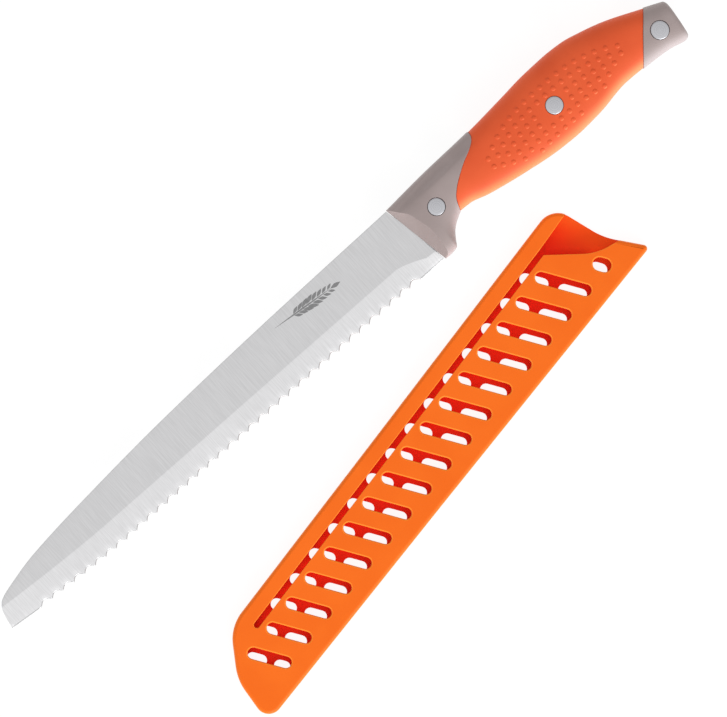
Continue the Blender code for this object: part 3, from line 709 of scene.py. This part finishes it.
def blade_rings():
    pitch = (TOOTH_LAST_X - TOOTH_FIRST_X) / TOOTH_COUNT
    nose = [TIP_X + 0.02 + NOSE_LENGTH * (step / 20) ** 2 for step in range(20)]
    point = [mix(POINT_X, TOOTH_FIRST_X, step / 8) for step in range(8)]
    teeth = [TOOTH_FIRST_X + pitch * step / TOOTH_STEPS
             for step in range(TOOTH_COUNT * TOOTH_STEPS + 1)]
    heel = [mix(TOOTH_LAST_X, HEEL_X, step / 8) for step in range(1, 9)]
    rings = [blade_ring(x) for x in nose + point + teeth + heel]
    behind = offset_seam(bolster_front, -GAP)
    shoulder = offset_seam(bolster_front, -GAP / 2)
    rings.append(blade_ring(0.0, behind))
    blade_end = len(rings)
    rings.append(tang_ring(0.0, shoulder))
    rings += [tang_ring(x) for x in TANG_STATIONS]
    return [flatten(rings[0])] + rings + [flatten(rings[-1])], blade_end


def build_blade():
    rings, blade_end = blade_rings()
    rows = len(rings[0]) // 2

    def steel_of(along, around):
        """Which steel a face of the blade's skin has: 0 satin, 1 bevel, 2 honed."""
        row = min(around, 2 * rows - 1 - around)
        if row < BEVEL_ROW or along >= blade_end:
            return 0
        return 2 if row >= rows - 2 else 1

    blade = make_object(skin(rings, steel_of), "blade_fine", KNIFE,
                        (satin_steel, bevel_steel_painted_light, honed_steel), 60)
    cut_away(blade, hole_cutter(SOCKET_DIAMETER + 2 * GAP, satin_steel))
    settle_shading(blade, 60)
    keep(blade, "knife", "blade_steel", "blade")


# Cutters

def cutter_object(bm, place, material):
    cutter = make_object(bm, "cutter", place, (material,))
    cutter.hide_render = True
    return cutter


def hole_cutter(diameter, material):
    """Straight holes for the three rivets, right through the knife."""
    bm = bmesh.new()
    radius = diameter / 2
    profile = ((0, THROUGH), (radius, THROUGH), (radius, -THROUGH), (0, -THROUGH))
    for x, y, _ in RIVETS.values():
        join_into(bm, turned(profile, x, y, 32))
    return cutter_object(bm, KNIFE, material)


def seat_cutter(material):
    """Stepped seats for the rivets: a wide one for each head, and a hole between them."""
    bm = bmesh.new()
    shank = SOCKET_DIAMETER / 2 + GAP
    for x, y, head in RIVETS.values():
        seat = surface_height(x, y) - HEAD_THICK - GAP
        wide = head / 2 + SEAT_GAP
        join_into(bm, turned(((0, THROUGH), (wide, THROUGH), (wide, seat), (shank, seat),
                              (shank, -seat), (wide, -seat), (wide, -THROUGH), (0, -THROUGH)),
                             x, y))
    return cutter_object(bm, KNIFE, material)


def prism(outline, low, high, flare=0.0, flare_at=1):
    """An upright prism over a closed outline, widening softly near its top (1) or bottom (-1)."""
    levels = [(0.0, low), (0.0, high)]
    if flare:
        start, end = (low, high) if flare_at > 0 else (high, low)
        levels = [(0.0, start)]
        levels += [(flare * (1 - math.cos(turn)), end - flare_at * flare * (1 - math.sin(turn)))
                   for turn in (0.0, 0.4, 0.8, 1.2)]
        levels += [(flare * 1.05, end + flare_at * 0.03), (flare * 1.1, end + flare_at)]
    if flare_at < 0:
        levels.reverse()
    rings = [[(x, y, z) for x, y in offset_outline(outline, away)] for away, z in levels]
    return skin(rings, close_ends=True)


# Handle

def section_point(x, angle, inset=0.0):
    """Y and Z of the handle's surface at one station, or of the same surface moved inwards."""
    top = handle_top(x) - inset
    bottom = handle_bottom(x) + inset
    across = math.cos(angle)
    y = (top + bottom) / 2 + (top - bottom) / 2 * across
    height = (1 - abs(across) ** SQUARENESS) ** (1 / SQUARENESS)
    return y, math.copysign(ledged(x, top - y, (handle_half(x) - inset) * height), math.sin(angle))


def ledged(x, from_top, height):
    """Holds the surface down along the strip on the bolster's spine side."""
    strength = 1 - blend_between(*LEDGE_FADES, x)
    over = height - ledge_height(from_top)
    soft = (over + math.sqrt(over * over + LEDGE_SOFT)) / 2
    return max(0.0, height - soft * strength * blend_between(0.0, LEDGE_START, from_top))


def surface_height(x, y, inset=0.0):
    """Height of the handle's surface above the middle plane at a point of it."""
    top = handle_top(x) - inset
    bottom = handle_bottom(x) + inset
    across = max(-1.0, min(1.0, (2 * y - top - bottom) / (top - bottom)))
    return section_point(x, math.acos(across), inset)[1]


def seam_x(seam, angle, inset=0.0):
    """Where a seam meets the surface at one angle round the handle."""
    x = seam(-10.0)
    for _ in range(25):
        y, _ = section_point(x, angle, inset)
        x = seam(y)
    return x


def ring_angles():
    return [2 * math.pi * i / RING_POINTS for i in range(RING_POINTS)]


def handle_rings(start, end, stations, inset=0.0):
    """Rings of points between two seams; a station is a share of the way and a further inset."""
    starts = [seam_x(start, angle, inset) for angle in ring_angles()]
    ends = [seam_x(end, angle, inset) for angle in ring_angles()]
    rings = []
    for share, sink in stations:
        ring = []
        for angle, first, last in zip(ring_angles(), starts, ends):
            x = mix(first, last, share)
            ring.append((x, *section_point(x, angle, inset + sink)))
        rings.append(ring)
    return rings


def soft_stations(count, length):
    """Even stations with a small round at both ends of a stretch."""
    edge = SEAM_ROUND / length
    inner = [(mix(edge, 1 - edge, step / count), 0.0) for step in range(count + 1)]
    return ([(0.0, SEAM_ROUND * 0.7), (edge * 0.35, SEAM_ROUND * 0.2)] + inner
            + [(1 - edge * 0.35, SEAM_ROUND * 0.2), (1.0, SEAM_ROUND * 0.7)])


def facet_rings():
    """The bolster's front facet, which climbs from the blade to its crease."""
    firsts = [seam_x(bolster_front, angle) for angle in ring_angles()]
    creases = [seam_x(facet_crease, angle) for angle in ring_angles()]
    rings = []
    for step in range(9):
        share = step / 8
        ring = []
        for angle, first, crease in zip(ring_angles(), firsts, creases):
            x = mix(first, crease, share)
            y, z = section_point(x, angle)
            low = min(abs(section_point(first, angle)[1]), LIP)
            high = abs(section_point(crease, angle)[1])
            climb = mix(low, high, share ** 0.92)
            ring.append((x, y, math.copysign(min(abs(z), climb), z)))
        rings.append(ring)
    return rings


def build_bolster():
    body = handle_rings(facet_crease, offset_seam(bolster_back, -SEAM_HALF),
                        [(0.004 + 0.996 * (step / 44) ** 1.1, 0.0) for step in range(44)]
                        + [(0.997, SEAM_ROUND * 0.2), (1.0, SEAM_ROUND * 0.7)])
    rings = facet_rings() + body
    bm = skin([flatten(rings[0])] + rings + [flatten(rings[-1])])
    bolster = make_object(bm, "bolster_fine", KNIFE, (grey_plastic,))
    cut_away(bolster, seat_cutter(grey_plastic), tang_cutter(grey_plastic))
    settle_shading(bolster, 28)
    keep(bolster, "knife", "grey_plastic", "bolster")


def tang_cutter(material):
    """The room that the handle leaves for the tang."""
    xs = (-6.0, 4.0, 8.0) + TANG_STATIONS[2:-1] + (TANG_END_X + GAP,)
    top = [(x, tang_top(x) + GAP) for x in xs]
    bottom = [(x, tang_bottom(max(x, 4.0)) - GAP) for x in reversed(xs)]
    half = BLADE_THICK / 2 + GAP
    return cutter_object(prism(top + bottom, -half, half), KNIFE, material)


def dot_places():
    """Where the grip's raised dots sit."""
    for row, (first, last, count) in enumerate(DOT_ROWS):
        for step in range(count):
            x = mix(first, last, step / (count - 1))
            away = abs(x - DOT_MIDDLE_X) / DOT_DROOP_X
            y = DOT_TOP_Y - DOT_ROW_PITCH * row - DOT_DROOP * away ** DOT_BEND
            rivet_x, rivet_y, _ = RIVETS["middle"]
            if math.hypot((x - rivet_x) / DOT_CLEAR[0], (y - rivet_y) / DOT_CLEAR[1]) > 1:
                yield x, y


def add_dots(bm):
    """Low round dots on both sides of the grip, each square to the surface."""
    reach = 0.2
    for x, y in dot_places():
        here = surface_height(x, y, GRIP_SINK)
        slope_x = (surface_height(x + reach, y, GRIP_SINK) - here) / reach
        slope_y = (surface_height(x, y + reach, GRIP_SINK) - here) / reach
        for side in (1, -1):
            out = Vector((-slope_x, -slope_y, 1.0)).normalized()
            out.z *= side
            turn = out.to_track_quat("Z", "Y").to_matrix().to_4x4()
            at = Vector((x, y, side * here)) - out * DOT_SINK
            squash = Matrix.Diagonal((DOT_RADIUS, DOT_RADIUS, DOT_RISE, 1.0))
            bmesh.ops.create_uvsphere(bm, u_segments=14, v_segments=8, radius=1.0,
                                      matrix=KNIFE @ Matrix.Translation(at) @ turn @ squash)


def build_grip():
    start = offset_seam(bolster_back, SEAM_HALF)
    end = offset_seam(cap_front, -SEAM_HALF)
    stations = soft_stations(90, GRIP_LENGTH)
    outer = handle_rings(start, end, stations, GRIP_SINK)
    inner = handle_rings(start, end, [(step / 20, 0.0) for step in range(20, -1, -1)], GRIP_WALL)
    grip = make_object(skin(outer + inner + outer[:1]), "grip_fine", KNIFE, (orange_rubber,))
    cut_away(grip, seat_cutter(orange_rubber))
    bm = bmesh.new()
    bm.from_mesh(grip.data)
    add_dots(bm)
    bm.to_mesh(grip.data)
    bm.free()
    settle_shading(grip, 40)
    keep(grip, "knife", "orange_rubber", "grip")


def build_end_cap():
    """The butt's cap, drawn in softly where it ends."""
    front = handle_rings(offset_seam(cap_front, SEAM_HALF), butt,
                         [(0.0, SEAM_ROUND * 0.7), (0.004, SEAM_ROUND * 0.2), (0.02, 0.0)]
                         + [(step / 12, 0.0) for step in range(1, 11)])
    turns = [math.pi / 2 * step / 7 for step in range(8)]
    back = handle_rings(offset_seam(cap_front, SEAM_HALF), butt,
                        [(1 - BUTT_ROUND * (1 - math.sin(turn)) / CAP_LENGTH,
                          BUTT_ROUND * (1 - math.cos(turn))) for turn in turns])
    rings = front + back
    bm = skin([flatten(rings[0])] + rings + [flatten(rings[-1])])
    cap = make_object(bm, "end_cap_fine", KNIFE, (grey_plastic,))
    cut_away(cap, seat_cutter(grey_plastic), tang_cutter(grey_plastic))
    settle_shading(cap, 40)
    keep(cap, "knife", "grey_plastic", "end_cap")


def build_rivet(name, x, y, head):
    """A cutler's rivet: a stud from one side, pressed into a socket from the other."""
    top = surface_height(x, y) - HEAD_SINK
    under = top - HEAD_THICK
    radius = head / 2
    dome = [(radius * share, top - HEAD_CROWN * share ** 2) for share in (0, 0.25, 0.5, 0.75, 0.9)]
    rim = [(radius - 0.10, top - 0.24), (radius - 0.02, top - 0.34), (radius, top - 0.5)]
    steel = turned_steel(f"{name}_rivet_steel", x, y)
    stud = dome + rim + [(radius, under), (STUD_DIAMETER / 2, under),
                         (STUD_DIAMETER / 2, 0.3 - STUD_REACH), (1.2, -STUD_REACH),
                         (0, -STUD_REACH)]
    bore = STUD_DIAMETER / 2 + GAP
    socket = [(r, -z) for r, z in dome + rim] + [
        (radius, -under), (SOCKET_DIAMETER / 2, -under), (SOCKET_DIAMETER / 2, under - GAP),
        (bore, under - GAP), (bore, -STUD_REACH - GAP), (0, -STUD_REACH - GAP)]
    for part, profile in (("stud", stud), ("socket", socket)):
        rivet = make_object(turned(profile, x, y), f"{name}_{part}_fine", KNIFE, (steel,), 40)
        keep(rivet, "knife", "rivet_steel", f"{name}_rivet_{part}")


# Cover

def fillet_outline(corners, steps=12):
    """A closed outline with round corners from (x, y, radius) corners."""
    outline = []
    count = len(corners)
    for i, (x, y, radius) in enumerate(corners):
        if radius == 0:
            outline.append((x, y))
            continue
        before = corners[i - 1]
        after = corners[(i + 1) % count]
        back = math.atan2(before[1] - y, before[0] - x)
        ahead = math.atan2(after[1] - y, after[0] - x)
        opening = (ahead - back + math.pi) % (2 * math.pi) - math.pi
        half = abs(opening) / 2
        away = radius / math.sin(half)
        middle = back + opening / 2
        centre = (x + away * math.cos(middle), y + away * math.sin(middle))
        swing = math.copysign(math.pi / 2 - half, opening)
        for step in range(steps + 1):
            angle = middle + math.pi + swing * (1 - 2 * step / steps)
            outline.append((centre[0] + radius * math.cos(angle),
                            centre[1] + radius * math.sin(angle)))
    return outline


def offset_outline(outline, distance):
    """A closed outline grown by a distance, or shrunk by a negative one."""
    area = sum(x0 * y1 - x1 * y0
               for (x0, y0), (x1, y1) in zip(outline, outline[1:] + outline[:1]))
    outwards = math.copysign(1.0, area)
    grown = []
    for i, (x, y) in enumerate(outline):
        before = Vector(outline[i - 1])
        after = Vector(outline[(i + 1) % len(outline)])
        here = Vector((x, y))
        first = (here - before).normalized()
        second = (after - here).normalized()
        normal = Vector((first.y + second.y, -first.x - second.x)).normalized()
        stretch = 1 / max(0.3, normal.dot(Vector((first.y, -first.x))))
        moved = here + normal * distance * outwards * stretch
        grown.append((moved.x, moved.y))
    return grown


def cover_outline(inset=0.0, mouth_reach=0.0):
    """The cover's outline seen from above, or the same outline moved inwards."""
    spine, belly = 18.8 - inset, -18.6 + inset
    rounded = mouth_reach == 0
    return fillet_outline((
        (222.4 + mouth_reach, belly, 1.4 * rounded),
        (214.4 + mouth_reach, -3.0, 26 * rounded),
        (211.9 + mouth_reach, spine, 8.0 * rounded),
        (100.0, 17.3 - inset, 0),
        (17.8 + inset * 0.3, 16.3 - inset, 16),
        (4.0 + inset, 2.2, 20),
        (-1.4 + inset * 1.1, -16.4 + inset, 5.0),
        (100.0, -17.2 + inset, 0),
    ))


def stadium(centre, length, width, angle, steps=10):
    """A slot outline with round ends."""
    radius = width / 2
    reach = length / 2 - radius
    outline = []
    for end in (1, -1):
        for step in range(steps + 1):
            swing = math.pi * (step / steps - 0.5) + (0 if end == 1 else math.pi)
            u = end * reach + radius * math.cos(swing)
            v = radius * math.sin(swing)
            outline.append((centre[0] + u * math.cos(angle) - v * math.sin(angle),
                            centre[1] + u * math.sin(angle) + v * math.cos(angle)))
    return outline


def slot_between(row_x, y_from, y_to, shift):
    """Outline of a slot on a row's line between two Y positions."""
    along = (math.sin(SLOT_LEAN), -math.cos(SLOT_LEAN))
    middle = (y_from + y_to) / 2
    x = row_x + (SLOT_FIRST[1] - middle) * math.tan(SLOT_LEAN) - shift
    return stadium((x, middle), (y_from - y_to) / -along[1], SLOT_WIDTH,
                   math.atan2(along[1], along[0]))


def cover_rows():
    """X of each slot row, from the mouth to the tip end, and its place from 0 to 1."""
    return [(SLOT_FIRST[0] - row * SLOT_PITCH, row / (SLOT_ROWS - 1)) for row in range(SLOT_ROWS)]


def hang_outline(shift):
    return stadium((HANG_HOLE[0] - shift, HANG_HOLE[1]), *HANG_SIZE, SLOT_LEAN - math.pi / 2)


def front_openings():
    """Slots and hang hole of the front, with softened rims."""
    bm = bmesh.new()
    outlines = [hang_outline(0.0)]
    for x, place in cover_rows():
        half = mix(*SLOT_LENGTHS, place) / 2 * math.cos(SLOT_LEAN)
        outlines.append(slot_between(x, SLOT_FIRST[1] + half, SLOT_FIRST[1] - half, 0.0))
    for outline in outlines:
        join_into(bm, prism(outline, COVER_THICK / 2, COVER_THICK, SLOT_ROUND))
    return cutter_object(bm, COVER, painted_shade_inside)


def back_openings():
    """Two shorter slots in each row of the back, with a rib between them, and the hang hole."""
    bm = bmesh.new()
    outlines = [hang_outline(BACK_SHIFT)]
    for x, place in cover_rows():
        for at_mouth, at_tip, in_last_row in BACK_SLOTS:
            y_from, y_to = (mix(a, b, place) for a, b in zip(at_mouth, at_tip))
            if place == 1.0:
                y_from, y_to = in_last_row
            if x < SHORT_ROWS_X:
                y_from = min(y_from, SHORT_ROW_TOP)
            outlines.append(slot_between(x, y_from, y_to, BACK_SHIFT))
    for outline in outlines:
        join_into(bm, prism(outline, 0.0, COVER_THICK / 2, SLOT_ROUND, -1))
    return cutter_object(bm, COVER, painted_shade_inside)


def blade_room():
    outline = cover_outline(COVER_RIM, 12.0)
    return cutter_object(prism(outline, COVER_WALL, COVER_THICK - COVER_WALL), COVER,
                         painted_shade_inside)


def mouth_opening():
    """Takes the front wall away at the mouth, in a sweeping curve beside the rail."""
    outline = fillet_outline(((235, 14.3, 0), (192.5, 12.3, 0), (194.8, 11.2, 1.2),
                              (208.0, -4.6, 20), (219.5, -9.3, 0), (235, -9.3, 0)))
    return cutter_object(prism(outline, COVER_THICK / 2, COVER_THICK, MOUTH_ROUND), COVER,
                         painted_shade_inside)


def slit_opening():
    """The long slit between the front wall and the rail over the spine."""
    (x0, y0), (x1, y1) = SLIT_ENDS
    outline = stadium(((x0 + x1) / 2, (y0 + y1) / 2), math.hypot(x1 - x0, y1 - y0) + SLIT_WIDTH,
                      SLIT_WIDTH, math.atan2(y1 - y0, x1 - x0))
    return cutter_object(prism(outline, COVER_THICK / 2, COVER_THICK, MOUTH_ROUND), COVER,
                         painted_shade_inside)


def mouth_ramp():
    """A shallow hollow that leads the blade in at the mouth."""
    bm = bmesh.new()
    bmesh.ops.create_cone(bm, cap_ends=True, segments=256, radius1=RAMP_RADIUS,
                          radius2=RAMP_RADIUS, depth=RAMP_LENGTH)
    lie = Matrix.Rotation(RAMP_TURN, 4, "Z") @ Matrix.Rotation(math.pi / 2, 4, "Y")
    at = Matrix.Translation((*RAMP_AT, COVER_WALL - RAMP_DEPTH + RAMP_RADIUS))
    bmesh.ops.transform(bm, matrix=at @ lie, verts=bm.verts)
    return cutter_object(bm, COVER, painted_shade_inside)


def cover_shell(name, seam_z, outer_z, rounding, node, cutters):
    """One shell: walls up from the seam, a round outer edge, and a flat outer face."""
    outline = cover_outline(COVER_INSET)
    side = math.copysign(1.0, outer_z - seam_z)
    levels = [(-0.12, seam_z), (0.0, seam_z + side * 0.12)]
    levels += [(-rounding * (1 - math.cos(turn)), outer_z - side * rounding * (1 - math.sin(turn)))
               for turn in (math.pi / 2 * step / 8 for step in range(9))]
    rings = [[(x, y, z) for x, y in offset_outline(outline, away)] for away, z in levels]
    shell = make_object(skin(rings, close_ends=True), name, COVER, (orange_plastic,))
    cut_away(shell, *cutters)
    settle_shading(shell, 30)
    keep(shell, "cover", "orange_plastic", node)


def build_cover():
    """Two shells that meet on the middle plane and leave a flat room for the blade."""
    middle = COVER_THICK / 2
    room = blade_room()
    cover_shell("cover_front_fine", middle + GAP / 2, COVER_THICK, COVER_ROUND, "cover_front",
                (room, mouth_opening(), slit_opening(), front_openings()))
    cover_shell("cover_back_fine", middle - GAP / 2, 0.0, BACK_ROUND, "cover_back",
                (room, mouth_ramp(), back_openings()))


# Mark on the blade

def add_leaf(bm, x, y, length, width, turn):
    """One flat pointed grain of the wheat ear."""
    made = bmesh.ops.create_circle(bm, cap_ends=True, segments=16, radius=1.0)
    for vert in made["verts"]:
        vert.co.y *= math.sqrt(max(0.0, 1 - abs(vert.co.x))) + 0.05
    place = (Matrix.Translation((x, y, BLADE_THICK / 2 + 0.001)) @ Matrix.Rotation(turn, 4, "Z")
             @ Matrix.Diagonal((length / 2, width / 2, 1.0, 1.0)))
    bmesh.ops.transform(bm, matrix=place, verts=made["verts"])


def build_mark():
    """A plain ear of wheat etched near the heel."""
    bm = bmesh.new()
    run = Vector(EAR_END) - Vector(EAR_AT)
    lean = math.atan2(run.y, run.x)
    across = Vector((-math.sin(lean), math.cos(lean)))
    for grain in range(EAR_GRAINS):
        at = Vector(EAR_AT) + run * (0.36 + 0.52 * grain / (EAR_GRAINS - 1))
        size = 1.0 - 0.3 * abs(2 * grain / (EAR_GRAINS - 1) - 0.8)
        for side in (1, -1):
            spot = at + across * side * 1.45 * size
            add_leaf(bm, spot.x, spot.y, GRAIN_SIZE[0] * size, GRAIN_SIZE[1] * size,
                     lean + side * math.radians(28))
    tip = Vector(EAR_AT) + run * 0.96
    add_leaf(bm, tip.x, tip.y, GRAIN_SIZE[0], GRAIN_SIZE[1], lean)
    stem = Vector(EAR_AT) + run * 0.46
    add_leaf(bm, stem.x, stem.y, run.length * 0.92, STEM_WIDTH, lean)
    made = bmesh.ops.extrude_face_region(bm, geom=bm.faces[:])
    top = [item for item in made["geom"] if isinstance(item, bmesh.types.BMVert)]
    bmesh.ops.translate(bm, verts=top, vec=(0, 0, MARK_RISE))
    bmesh.ops.recalc_face_normals(bm, faces=bm.faces)
    mark = make_object(bm, "wheat_ear_mark", KNIFE, (etched_steel,), 30)
    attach(mark, "knife")


def keep(item, body, slot, *nodes):
    """Hands a finished piece to the frame."""
    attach(item, body)
    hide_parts(*nodes)


# Studio

def build_floor():
    bm = bmesh.new()
    bmesh.ops.create_grid(bm, x_segments=1, y_segments=1, size=FLOOR_SIZE)
    material, tree, shader, coordinates = new_material("studio_floor", 0.9, gloss=0.1)
    moulded = place_group(tree, MOULDED_SKIN, {"Vector": coordinates, "Grain": 900.0})
    colour = drift_colour(tree, moulded.outputs["Tone"], (0.13, 0.13, 0.13, 1),
                          (0.15, 0.15, 0.15, 1))
    tree.links.new(colour, shader.inputs["Base Color"])
    shader.inputs["Emission Color"].default_value = (1.0, 1.0, 1.0, 1.0)
    shader.inputs["Emission Strength"].default_value = FLOOR_GLOW
    floor = make_object(bm, "floor", Matrix.Translation((0, 0, -FLOOR_DROP)), (material,))


def add_key_light():
    """A soft box on the belly side that faces the knife."""
    data = bpy.data.lights.new("belly_side_key", "AREA")
    data.shape = "RECTANGLE"
    data.size, data.size_y = KEY_SIZE
    data.energy = KEY_POWER
    light = bpy.data.objects.new("belly_side_key", data)
    light.location = KEY_AT
    light.rotation_euler = (-Vector(KEY_AT)).to_track_quat("-Z", "Y").to_euler()
    bpy.context.scene.collection.objects.link(light)


def build_lights():
    world = bpy.data.worlds.new("studio")
    world.use_nodes = True
    tree = world.node_tree
    background = tree.nodes["Background"]
    background.inputs["Color"].default_value = (1.0, 1.0, 1.0, 1.0)
    direction = tree.nodes.new("ShaderNodeTexCoord").outputs["Generated"]
    slant = add_node(tree, "ShaderNodeVectorMath", {0: direction, 1: ROOM_SLANT},
                     operation="DOT_PRODUCT")
    strength = add_node(tree, "ShaderNodeMath", {
        0: slant.outputs["Value"], 1: ROOM_LIGHT}, operation="ADD")
    tree.links.new(strength.outputs[0], background.inputs["Strength"])
    bpy.context.scene.world = world
    add_key_light()


def build_camera():
    data = bpy.data.cameras.new("camera")
    data.lens = data.sensor_width * (CAMERA_HEIGHT - knife_origin.z) / (VIEW_WIDTH * MM)
    data.clip_end = 20.0
    camera = bpy.data.objects.new("camera", data)
    centre = KNIFE @ Vector((*VIEW_CENTRE, 0))
    camera.location = (centre.x, centre.y, CAMERA_HEIGHT)
    camera.rotation_euler = (0, 0, VIEW_TURN)
    bpy.context.scene.collection.objects.link(camera)
    bpy.context.scene.camera = camera


def main():
    build_camera()
    build_blade()
    build_bolster()
    build_grip()
    build_end_cap()
    for name, (x, y, head) in RIVETS.items():
        build_rivet(name, x, y, head)
    build_cover()
    build_mark()
    for node in ("grip_core_upper", "grip_core_lower"):
        frame["nodes"][node].data.materials.clear()
        frame["nodes"][node].data.materials.append(core_plastic)
    for item in [item for item in bpy.data.objects if item.name.startswith("cutter")]:
        bpy.data.objects.remove(item)
    build_floor()
    build_lights()
    bpy.context.scene.view_settings.view_transform = "Standard"


main()
